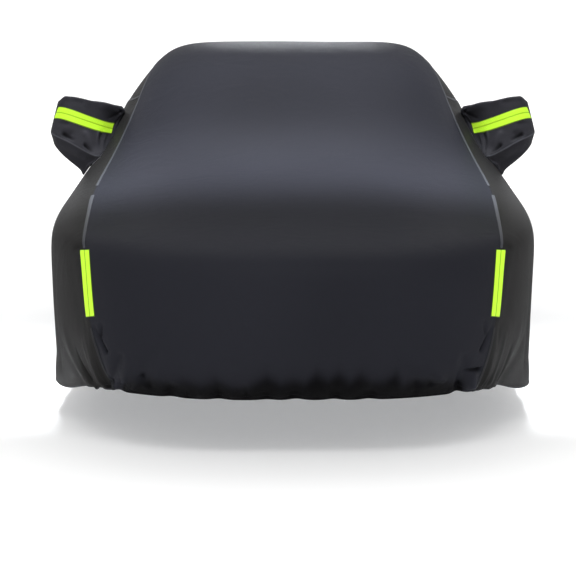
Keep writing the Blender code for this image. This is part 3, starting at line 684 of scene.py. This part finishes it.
def lime_reflective(tree, strength):
    """Lime reflective strip: fine ribs, stitched edges, a dark groove along its middle and a painted glow.
    """
    _, across, along, edge = tape_place(tree)
    groove = remap(tree, maths(tree, "ABSOLUTE", across), 0.0012, 0.0038, 1.0, 0.0)
    ribs = maths(tree, "SINE", times(tree, across, 2 * math.pi / 0.0016))
    low, high = (tuple(strength * c for c in rib) for rib in ((0.46, 0.82, 0.028), (0.52, 0.88, 0.040)))
    lime = layered(
        tree,
        mixed(tree, remap(tree, ribs, -1.0, 1.0), low, high),
        (groove, 0.85, (0.16, 0.32, 0.006)),
        (remap(tree, edge, 0.0014, 0.0036, 1.0, 0.0), 0.90, (0.040, 0.070, 0.006)),
        (stitches(tree, along, edge, 0.0035, 0.004), 0.35, (0.30, 0.55, 0.020)),
    )
    normal = bump(tree, 0.0006, times(tree, ribs, 0.15), (groove, -0.8))
    # the emission is painted light: the strip glows though it is no lamp
    glow = {"Emission Color": lime, "Emission Strength": 0.35}
    return glow | {"Base Color": lime, "Roughness": 0.40, "Specular IOR Level": 0.10, "Normal": normal}


def pale_floor(tree):
    glow = {"Emission Color": (1, 1, 1, 1), "Emission Strength": 0.20}
    return glow | {"Base Color": (0.88, 0.88, 0.88, 1), "Roughness": 0.9, "Specular IOR Level": 0.1}


# One cloth in three tints. The side panels' tint is painted darker, as painted shade against the floor's
# bounce light; the middle panel's is bluer and the pockets' lighter.
MIDDLE_BLACK = new_material("cloth_middle", black_cloth, (0.0174, 0.0179, 0.0230))
SIDE_BLACK = new_material("cloth_sides", black_cloth, (0.0168, 0.0164, 0.0165))
POCKET_BLACK = new_material("cloth_pockets", black_cloth, (0.0215, 0.0213, 0.0250))
LINING = new_material("pale_lining", pale_lining)
FLOOR = new_material("pale_floor", pale_floor)
# the pockets' strips get more light than the corners', so theirs is the darker of the two
LIME = {
    "corner": new_material("strip_corner", lime_reflective, 1.0),
    "mirror": new_material("strip_mirror", lime_reflective, 0.70),
}
# shade of each tape and of the groove along it; the bumper's tape is painted darker, as painted shade
SHADES = {"bumper": (0.018,), "bonnet": (0.050,), "roof": (0.045,), "dart": (0.050, 0.9)}
GREY = {where: new_material(f"tape_{where}", grey_binding, *values) for where, values in SHADES.items()}


# ---- panels

# Rows of the sheets, closest at the front and rear hems.
FINE_U, MIDDLE_U = (
    pieced((0, 0.1, 6), (0.1, 3, 92), (3, 22, steps), (22, 24.9, 56), (24.9, 25, 5)) for steps in (190, 95)
)
FAR = 1.0  # further from a pocket's seam than its material looks


def panel_fields(points, u, s):
    """What the cloth's material reads at each point. hem_run grows along whichever hem is near."""
    u, s = np.broadcast_arrays(u, s)
    point = cover(u, s)
    # the band of painted shade along the tucked-under front hem
    edge = np.interp(s, *np.array(TUCK_SHADE_LINE).T, left=0.0, right=0.0)
    below = rise((edge + 0.12 - u) / TUCK_SHADE_SOFTNESS) * rise((edge - 0.05) / 0.02)
    return {
        "hem_distance": hem_distance(point, u, s),
        "hem_run": points[..., 0] + points[..., 1],
        "tuck_shade": below,
        # crease depths, which the cloth's colour turns into painted shade and painted highlight
        "crease_shading": bells(point, CREASES, cover) / CREASE_DEPTH,
        "seam_distance": np.full(u.shape, FAR),
    }


def panel(node_name, u, s, cells, material):
    """One cloth panel on the grid u, s, in place of the CAD node named."""
    outer, inner = cloth(u, s), cloth(u, s, -CLOTH)
    name = f"{node_name}_cloth"
    fields = panel_fields(outer, u, s)
    mesh = sheet_mesh(name, outer, inner, cells, (material, LINING), measured_uv(outer), fields)
    return add_piece(name, mesh, "black_cloth", node_name)


def centre_panel():
    """The middle panel, hem to hem between the two seams."""
    u = MIDDLE_U[:, None]
    seam = seam_distance(u, -CUT_EDGE, 1)
    half = pieced((0, 0.75, 58), (0.75, 0.985, 30), (0.985, 1, 4)) * seam
    s = np.concatenate([-half[:, :0:-1], half], axis=1)
    piece = panel("centre_panel", u, s, grid_cells(*s.shape), MIDDLE_BLACK)


def side_panel(word, side):
    """A side panel from its seam down to the hem, with the mouth of its mirror pocket."""
    u = FINE_U[:, None]
    low, high = MOUTH_SHARE
    lines = [seam_distance(u, d, side) for d in (CUT_EDGE, 0.004, 0.012, STRIP_LINE)]
    shares = pieced((0, low, 6), (low, high, 14), (high, 0.985, 92), (0.985, 1, 7))[1:]
    s = np.concatenate(lines + [side_line(u, share, side) for share in shares], axis=1)
    share = np.concatenate([[-1] * len(lines), shares])[:-1]
    in_u = (FINE_U[:-1] > MOUTH_U[0] - 0.01) & (FINE_U[:-1] < MOUTH_U[1] - 0.01)
    in_s = (share > low - 0.001) & (share < high - 0.001)
    cells = grid_cells(*s.shape, keep=~(in_u[:, None] & in_s[None, :]))
    if side < 0:
        cells = cells[:, ::-1]
    piece = panel(f"side_panel_{word}", u, s, cells, SIDE_BLACK)


# ---- mirror pockets

# Cross-sections outside the collar in mm: low_front, crease, top_front, top_back and low_back.
POCKET_SECTIONS = {
    "neck": ((887, 1675, 896), (830, 1630, 960), (783, 1790, 1176),
             (800, 1960, 1150), (900, 1880, 900)),
    "body": ((968, 1690, 962), (926, 1635, 1020), (877, 1700, 1198),
             (890, 1880, 1185), (965, 1850, 965)),
    "end": ((1001, 1705, 997), (992, 1665, 1042), (948, 1700, 1214),
            (950, 1820, 1200), (998, 1800, 1000)),
    "tip": ((1009, 1735, 1010), (1019, 1720, 1057), (986, 1730, 1186),
            (986, 1780, 1182), (1009, 1775, 1012)),
}
STRIP_CENTRE = 0.57  # the strip's middle, as a share of the front face's height
# Columns: u and share down the panel on the mouth's edge; corner and share round the section.
POCKET_LINES = (
    (10.0, 0.205, 0, 0.0),
    (10.0, 0.160, 0, 0.33),
    (10.0, 0.115, 0, 0.67),
    (10.0, 0.070, 1, 0.0),
    (10.35, 0.070, 1, 0.24),
    (10.70, 0.070, 1, "strip_low"),
    (10.84, 0.070, 1, STRIP_CENTRE),
    (10.99, 0.070, 1, "strip_high"),
    (11.22, 0.070, 1, 0.86),
    (11.5, 0.070, 2, 0.0),
    (11.5, 0.115, 2, 0.5),
    (11.5, 0.160, 3, 0.0),
    (11.5, 0.205, 3, 0.40),
    (11.2, 0.205, 3, 0.80),
    (10.9, 0.205, 4, 0.2),
    (10.45, 0.205, 4, 0.6),
)
STRIP_LOW, STRIP_HIGH = 5, 7  # the lines along the strip's edges
SEWN_POCKET = 2.95  # the line of the seam between the front and the lower face
ROUND_STEPS = 12  # fine steps between two lines
POCKET_STEPS = pieced((0, 0.2, 3), (0.2, 4.6, 110), (4.6, 5, 12))
# Ends and middle of a mirror strip. Columns: step at its lower and upper edge, line at both.
STRIP_PLACES = ((0.75, 1.04, 5.17, 7.25), (2.75, 2.71, 4.85, 6.92), (4.95, 4.67, 5.25, 7.25))
# Creases. Columns: step outwards and line round at start and end, half width and depth in mm.
POCKET_CREASES = (
    # the top pulled up straight beside the body
    (0.9, 9, 2.6, 9.1, 40, 15),
    # folds that fan out of the stitched corner
    (1.05, 8.7, 3, 7.7, 9, -9), (1.15, 8.5, 2.4, 8.2, 9, 5), (1.1, 8.5, 1.75, 7.2, 6, -6),
    (1, 8.4, 1.1, 6.6, 7, 5), (0.85, 8.2, 0.9, 5.4, 7, -6), (0.7, 8.2, 0.62, 4.6, 7, 4),
    # the upright fold below the strip's inner end, with its dark side
    (1.95, 4.9, 0.8, 3.2, 7, 8), (1.7, 4.9, 0.72, 3.35, 7, -8), (1.35, 4.8, 0.75, 3.7, 6, 4),
    # sewn line between front and lower face, with sagging cloth above it
    (4.5, 2.92, 2.4, 3.02, 5, 3), (2.3, 3.02, 0.3, 2.78, 5, 3), (3.55, 3.42, 2.85, 3.3, 9, -12),
    (2.35, 3.4, 1.7, 3.2, 9, -12), (3.2, 3.75, 4.6, 3.6, 12, -5),
    # soft hollows and swellings of the front face
    (2.5, 4.3, 1.9, 3.7, 16, 6), (3.6, 4.7, 4.6, 4.3, 16, -5), (3.1, 8.5, 4.3, 8, 18, -5),
    (4.2, 8.8, 4.6, 7.6, 12, 5),
    # lower face
    (0.8, 2.3, 2.4, 1.6, 16, -6), (0.6, 1.3, 1.8, 1.1, 12, 6), (1.6, 1.2, 3.8, 1, 18, -4),
    (2.6, 2.2, 4.4, 2, 20, 4),
    # top and back
    (1, 10.6, 3.4, 11.4, 18, -5), (1.2, 11.4, 3.6, 12.2, 14, 5), (1.4, 13, 4, 12.6, 20, 5),
    (1, 14.4, 3, 14.8, 20, -5), (1.8, 13.8, 4.4, 13.6, 12, -5),
)
SPREAD = 3  # points over which a pocket's corners are rounded
RIPPLE = 0.0015


def pocket_section(corners, line):
    """Where a pocket's line crosses one cross-section."""
    corners = np.array(corners) * MM
    corner, share = line[2:]
    start, end = corners[corner], corners[(corner + 1) % len(corners)]
    if isinstance(share, str):
        half = STRIP_WIDTH / 2 / np.linalg.norm(end - start)
        share = STRIP_CENTRE + (half if share == "strip_high" else -half)
    return start + (end - start) * share


def loop_between(values, position):
    """Values at positions round a closed loop, straight between its whole positions."""
    low = np.floor(position).astype(int)
    f = (position - low).reshape((-1,) + (1,) * (values.ndim - 1))
    count = len(values)
    return values[low % count] * (1 - f) + values[(low + 1) % count] * f


def soften_loop(points):
    """Rounds the corners of closed loops, [step, position, 3], with a bell along each loop."""
    reach = np.arange(-3 * SPREAD, 3 * SPREAD + 1)
    weights = np.exp(-((reach / SPREAD) ** 2))
    weights /= weights.sum()
    return sum(w * np.roll(points, k, axis=1) for k, w in zip(reach, weights))


def pocket_surface():
    """The right mirror pocket, [step outwards, position round it]: sections blended by a B-spline."""
    position = np.arange(0, len(POCKET_LINES), 1 / ROUND_STEPS)
    u, down = loop_between(np.array([line[:2] for line in POCKET_LINES]), position).T
    s = side_line(u, down, 1)
    edge, normal = cloth(u, s), outward(u, s)
    middle = edge.mean(axis=0)
    inward = unit(middle - edge - normal * ((middle - edge) * normal).sum(-1, keepdims=True))
    base = edge + inward * GAP * 2
    rings = [
        loop_between(np.array([pocket_section(corners, line) for line in POCKET_LINES]), position)
        for corners in POCKET_SECTIONS.values()
    ]
    surface = spline(np.array([base, base + normal * COLLAR, *rings]), POCKET_STEPS)
    hold = np.clip(POCKET_STEPS - 1.0, 0, 1)[:, None, None]
    return surface * (1 - hold) + soften_loop(surface) * hold, position


def creased_pocket(side):
    """The pocket's outer face with its creases, its inner face, its normals, the fine creases."""
    surface, position = pocket_surface()
    along, round_it = np.gradient(surface, axis=0), np.roll(surface, -1, 1) - np.roll(surface, 1, 1)
    normal = unit(np.cross(along, round_it))

    def place(step, line):
        i = np.argmin(np.abs(POCKET_STEPS - step))
        j = int(round(line * ROUND_STEPS)) % surface.shape[1]
        return surface[i, j]

    creases = bells(surface, POCKET_CREASES[1:], place)
    depth = creases + bells(surface, POCKET_CREASES[:1], place)
    x, y, z = np.moveaxis(surface, -1, 0)
    depth += RIPPLE * np.sin(31 * x + 17 * z) * np.sin(23 * y - 19 * z)
    depth *= np.clip(POCKET_STEPS / 0.8, 0, 1)[:, None]
    strip = (position > STRIP_LOW - 0.3) & (position < STRIP_HIGH + 0.4)
    calm = 1 - 0.85 * strip[None, :] * np.clip(POCKET_STEPS - 0.4, 0, 1)[:, None]
    depth *= soften_loop(calm[..., None])[..., 0]
    outer = surface + normal * depth[..., None]
    inner = outer - normal * CLOTH
    sign = np.array([side, 1, 1])
    return outer * sign, inner * sign, normal * sign, creases


def mirror_pocket(word, side):
    """A hollow pocket for one wing mirror, open where it meets the side panel."""
    outer, inner, _, creases = creased_pocket(side)
    steps, count = outer.shape[:2]
    ring = np.concatenate([outer, outer[:, :1]], axis=1)
    uv = measured_uv(ring)[:, :-1]
    # three more rings close the tip
    shrink = np.array([0.66, 0.33, 0.0])[:, None, None]
    tips = [face[-1].mean(axis=0) for face in (outer, inner)]
    caps = [tip + (face[-1] - tip) * shrink for tip, face in zip(tips, (outer, inner))]
    outer, inner = (np.concatenate([face, cap]) for face, cap in zip((outer, inner), caps))
    uv = np.concatenate([uv, uv[-1:] + np.arange(1, 4)[:, None, None] * 0.008])
    i, j = np.mgrid[0 : steps + 2, 0:count]
    k = (j + 1) % count
    cells = np.stack([i * count + j, i * count + k, (i + 1) * count + k, (i + 1) * count + j], -1)
    cells = cells.reshape(-1, 4)
    if side > 0:
        cells = cells[:, ::-1]
    # no hem, but a row of stitches round the collar, a tenth of a step out
    step = np.concatenate([POCKET_STEPS, [9, 9, 9]])[:, None] * np.ones(count)
    fields = {
        "hem_distance": np.minimum(0.5, HEM_STITCH + 0.1 * np.abs(step - 0.1)),
        "hem_run": uv[..., 0],
        "tuck_shade": step * 0,
        # crease depths, which the cloth's colour turns into painted shade and painted highlight
        "crease_shading": np.concatenate([creases, np.zeros((3, count))]) / CREASE_DEPTH,
        "seam_distance": np.abs(uv[..., 0] - uv[:, [int(SEWN_POCKET * ROUND_STEPS)], 0]),
    }
    name = f"mirror_pocket_{word}_cloth"
    mesh = sheet_mesh(name, outer, inner, cells, (POCKET_BLACK, LINING), uv, fields)
    piece = add_piece(name, mesh, "black_cloth", f"mirror_pocket_{word}")


# ---- strips and bindings


def tape_profile(across, half, groove):
    """Full thickness in the middle, rounded off at the edges, with a groove as deep as given."""
    edge = np.clip((half - np.abs(across)) / TAPE_EDGE, 0, 1)
    height = TAPE * (0.25 + 0.75 * np.sqrt(1 - (1 - edge) ** 2))
    return height - groove * np.exp(-((across / GROOVE_WIDTH) ** 2))


def tape_piece(name, base, normal, across, groove, material, slot, under, *nodes):
    """A tape. `under`, the node that it lies on, is not used. base is its place on that surface, [row
    along it, column across it], and across the distance of each column from its middle. Its lower face
    lies a gap above."""
    middle = base[:, base.shape[1] // 2]
    run = np.cumsum(np.linalg.norm(np.diff(middle, axis=0), axis=-1))
    along = np.concatenate([[0], run])[:, None]
    half = np.abs(across).max()
    profile = tape_profile(across, half, groove) * np.ones_like(along)
    upper, lower = base + normal * (GAP + profile)[..., None], base + normal * GAP
    cells = grid_cells(*base.shape[:2])
    if np.cross(base[0, 1] - base[0, 0], base[1, 0] - base[0, 0]) @ normal[0, 0] < 0:
        cells = cells[:, ::-1]
    uv = np.stack(np.broadcast_arrays(across, along), -1)
    edge = np.minimum(half - np.abs(across), np.minimum(along, along.max() - along))
    mesh = sheet_mesh(name, upper, lower, cells, (material,), uv, {"edge_distance": edge})
    piece = add_piece(name, mesh, slot, *nodes)


def seam_grid(side, stretch, edges, columns, bow=0.0):
    """Where a tape over the long seam lies, and its columns' places across it. With a bow it runs
    straighter than the seam, that far inwards at its middle, and its ends are cut square to it."""
    start, end = stretch
    inside = FINE_U[(FINE_U > start + 0.004) & (FINE_U < end - 0.004)]
    u = np.concatenate([[start], inside, [end]])[:, None]
    middle, half = (edges[0] + edges[1]) / 2, (edges[1] - edges[0]) / 2
    across = half * np.sin(np.linspace(-np.pi / 2, np.pi / 2, columns))
    t = (u - start) / (end - start)
    places = middle + across - bow * 4 * t * (1 - t)
    u = u - (STRIP_SLANT * across / half if bow else 0 * across)
    s = seam_distance(u, places, side)
    return cloth(u, s), outward(u, s), across


def corner_strip(word, side):
    """The reflective strip over the seam at a front corner."""
    grid = seam_grid(side, CORNER_STRETCH, CORNER_STRIP, 25, STRIP_BOW)
    node_name = f"corner_strip_{word}"
    name, slot = f"{node_name}_lime", "lime_reflective"
    tape_piece(name, *grid, GROOVE, LIME["corner"], slot, "centre_panel", node_name)


def seam_binding(where, word, side):
    """One length of the tape over a long seam."""
    start, end, half = BINDINGS[where]
    grid = seam_grid(side, (start, end), (-half, half), 13)
    node_name = f"{where}_binding_{word}"
    name, slot = f"{node_name}_tape", "grey_binding"
    tape_piece(name, *grid, 0.0, GREY[where], slot, "centre_panel", node_name)


def dart_seam(word, side):
    """The felled seam of a dart: a narrow raised line with a groove, on the side panel."""
    path = spline(np.array(DART), np.linspace(0, len(DART) - 1, 90))
    u, s = path[:, :1], side * path[:, 1:]
    middle, normal = cloth(u, s), outward(u, s)
    run = unit(np.gradient(middle[:, 0], axis=0))[:, None]
    across = np.linspace(-DART_WIDTH / 2, DART_WIDTH / 2, 13)[None, :]
    base = middle + unit(np.cross(run, normal)) * across[..., None] + normal * DART_LIFT
    normal = np.broadcast_to(normal, base.shape)
    name, under = f"dart_seam_{word}", f"side_panel_{word}"
    tape_piece(name, base, normal, across, DART_LIFT, GREY["dart"], "grey_binding", under)


def between(field, rows, columns):
    """Values of a grid at fractional rows and columns, straight between its points."""
    i, j = np.floor(rows).astype(int), np.floor(columns).astype(int)
    a, b = (rows - i)[..., None], (columns - j)[..., None]
    upper = field[i, j] * (1 - b) + field[i, j + 1] * b
    lower = field[i + 1, j] * (1 - b) + field[i + 1, j + 1] * b
    return upper * (1 - a) + lower * a


def mirror_strip(word, side):
    """The reflective strip across a mirror pocket's front: its edges follow STRIP_PLACES."""
    outer, _, normal, _ = creased_pocket(side)
    t = np.linspace(0, 1, 100)[:, None]
    ends = (1 - t) * (1 - 2 * t), 4 * t * (1 - t), t * (2 * t - 1)
    places = sum(w * place for w, place in zip(ends, np.array(STRIP_PLACES)))
    share = np.linspace(0, 1, 25)[None, :]
    step = places[:, :1] * (1 - share) + places[:, 1:2] * share
    line = places[:, 2:3] * (1 - share) + places[:, 3:] * share
    rows = np.interp(step, POCKET_STEPS, np.arange(len(POCKET_STEPS)))
    base = between(outer, rows, line * ROUND_STEPS)
    normal = unit(between(normal, rows, line * ROUND_STEPS))
    across = (share - 0.5) * STRIP_WIDTH
    node_name, under = f"mirror_strip_{word}", f"mirror_pocket_{word}"
    name, slot = f"{node_name}_lime", "lime_reflective"
    tape_piece(name, base, normal, across, GROOVE, LIME["mirror"], slot, under, node_name)


# ---- camera, lights and floor

# The fitted camera, in picture elements of a square picture this wide.
PICTURE = 576
LENS, TILT, SHIFT = 1711, 206.8, 4.75
EYE = (0, -8.10, -0.183)

FLOOR_REACH = 40.0
# The floor's line, seen from the side: metres towards the back, and up.
FLOOR_LINE = ((-40.0, 0.0), (14.0, 0.0), (18.0, 0.4), (21.0, 1.8), (23.0, 4.0), (24.0, 14.0))
FLOOR_ROWS = 60
COOL, WHITE = (0.93, 0.96, 1.0), (1, 1, 1)
# Area lights. Columns: place, target, size, power in watts, spread in degrees, colour.
LIGHTS = {
    "bonnet_streak": ((0, -1.2, 3.4), (0, -1.45, -0.57), (3.0, 0.3), 21, 16, COOL),
    "screen_streak": ((0, -1.6, 3.4), (0, -0.75, -0.15), (3.0, 0.5), 12.5, 24, COOL),
    "roof_rim": ((0, 6.0, 1.7), (0, -0.3, 0), (1.4, 0.8), 78, 180, COOL),
    "upper_front": ((0, -5.4, 3.6), (0, -1.3, -0.4), (3.0, 1.5), 83, 180, WHITE),
    "backdrop": ((0, 9.0, 5.0), (0, 20.0, 1.0), (14.0, 4.0), 950, 180, WHITE),
}


def camera():
    made = bpy.data.cameras.new("view")
    made.sensor_width = 36
    made.lens = LENS / PICTURE * 36
    made.shift_x = -SHIFT / PICTURE
    made.clip_end = 200
    eye = placed("view", made)
    eye.location = EYE
    eye.rotation_euler = (math.radians(90) - math.atan(TILT / LENS), 0, 0)
    bpy.context.scene.camera = eye


def lamp(name, kind, place, target):
    """A light at a place, aimed at a target."""
    made = bpy.data.lights.new(name, kind)
    holder = placed(name, made)
    holder.location = place
    holder.rotation_euler = (Vector(target) - Vector(place)).to_track_quat("-Z", "Y").to_euler()
    return made


def studio():
    """A pale floor that curves up behind, an even pale surround and soft lights."""
    curve = spline(FLOOR_LINE, np.linspace(0, len(FLOOR_LINE) - 1, FLOOR_ROWS))[:, None]
    x = np.array([-FLOOR_REACH, FLOOR_REACH])
    points = np.stack(np.broadcast_arrays(x, curve[..., 0], curve[..., 1] - ORIGIN[2]), -1)
    cells = grid_cells(FLOOR_ROWS, 2)
    mesh = new_mesh("floor", points.reshape(-1, 3), cells, np.zeros(len(cells)), (FLOOR,))
    placed("floor", mesh)
    world = bpy.data.worlds.new("surround")
    bpy.context.scene.world = world
    world.use_nodes = True
    surround = {"Color": (1, 1, 1, 1), "Strength": 0.75}
    fill(world.node_tree, world.node_tree.nodes["Background"], surround)
    for name, (place, target, size, power, spread, colour) in LIGHTS.items():
        made = lamp(name, "AREA", place, target)
        made.shape = "RECTANGLE"
        made.size, made.size_y = size
        made.energy, made.spread, made.color = power, math.radians(spread), colour
    sky = lamp("rear_sky", "SUN", (0, 2.0, 3.4), (0, 0, 0))
    sky.energy, sky.angle = 0.40, math.radians(30)
    bpy.context.scene.view_settings.view_transform = "Standard"


camera()
studio()
centre_panel()
for word, side in SIDES.items():
    side_panel(word, side)
    mirror_pocket(word, side)
    mirror_strip(word, side)
    dart_seam(word, side)
    corner_strip(word, side)
    for where in BINDINGS:
        seam_binding(where, word, side)
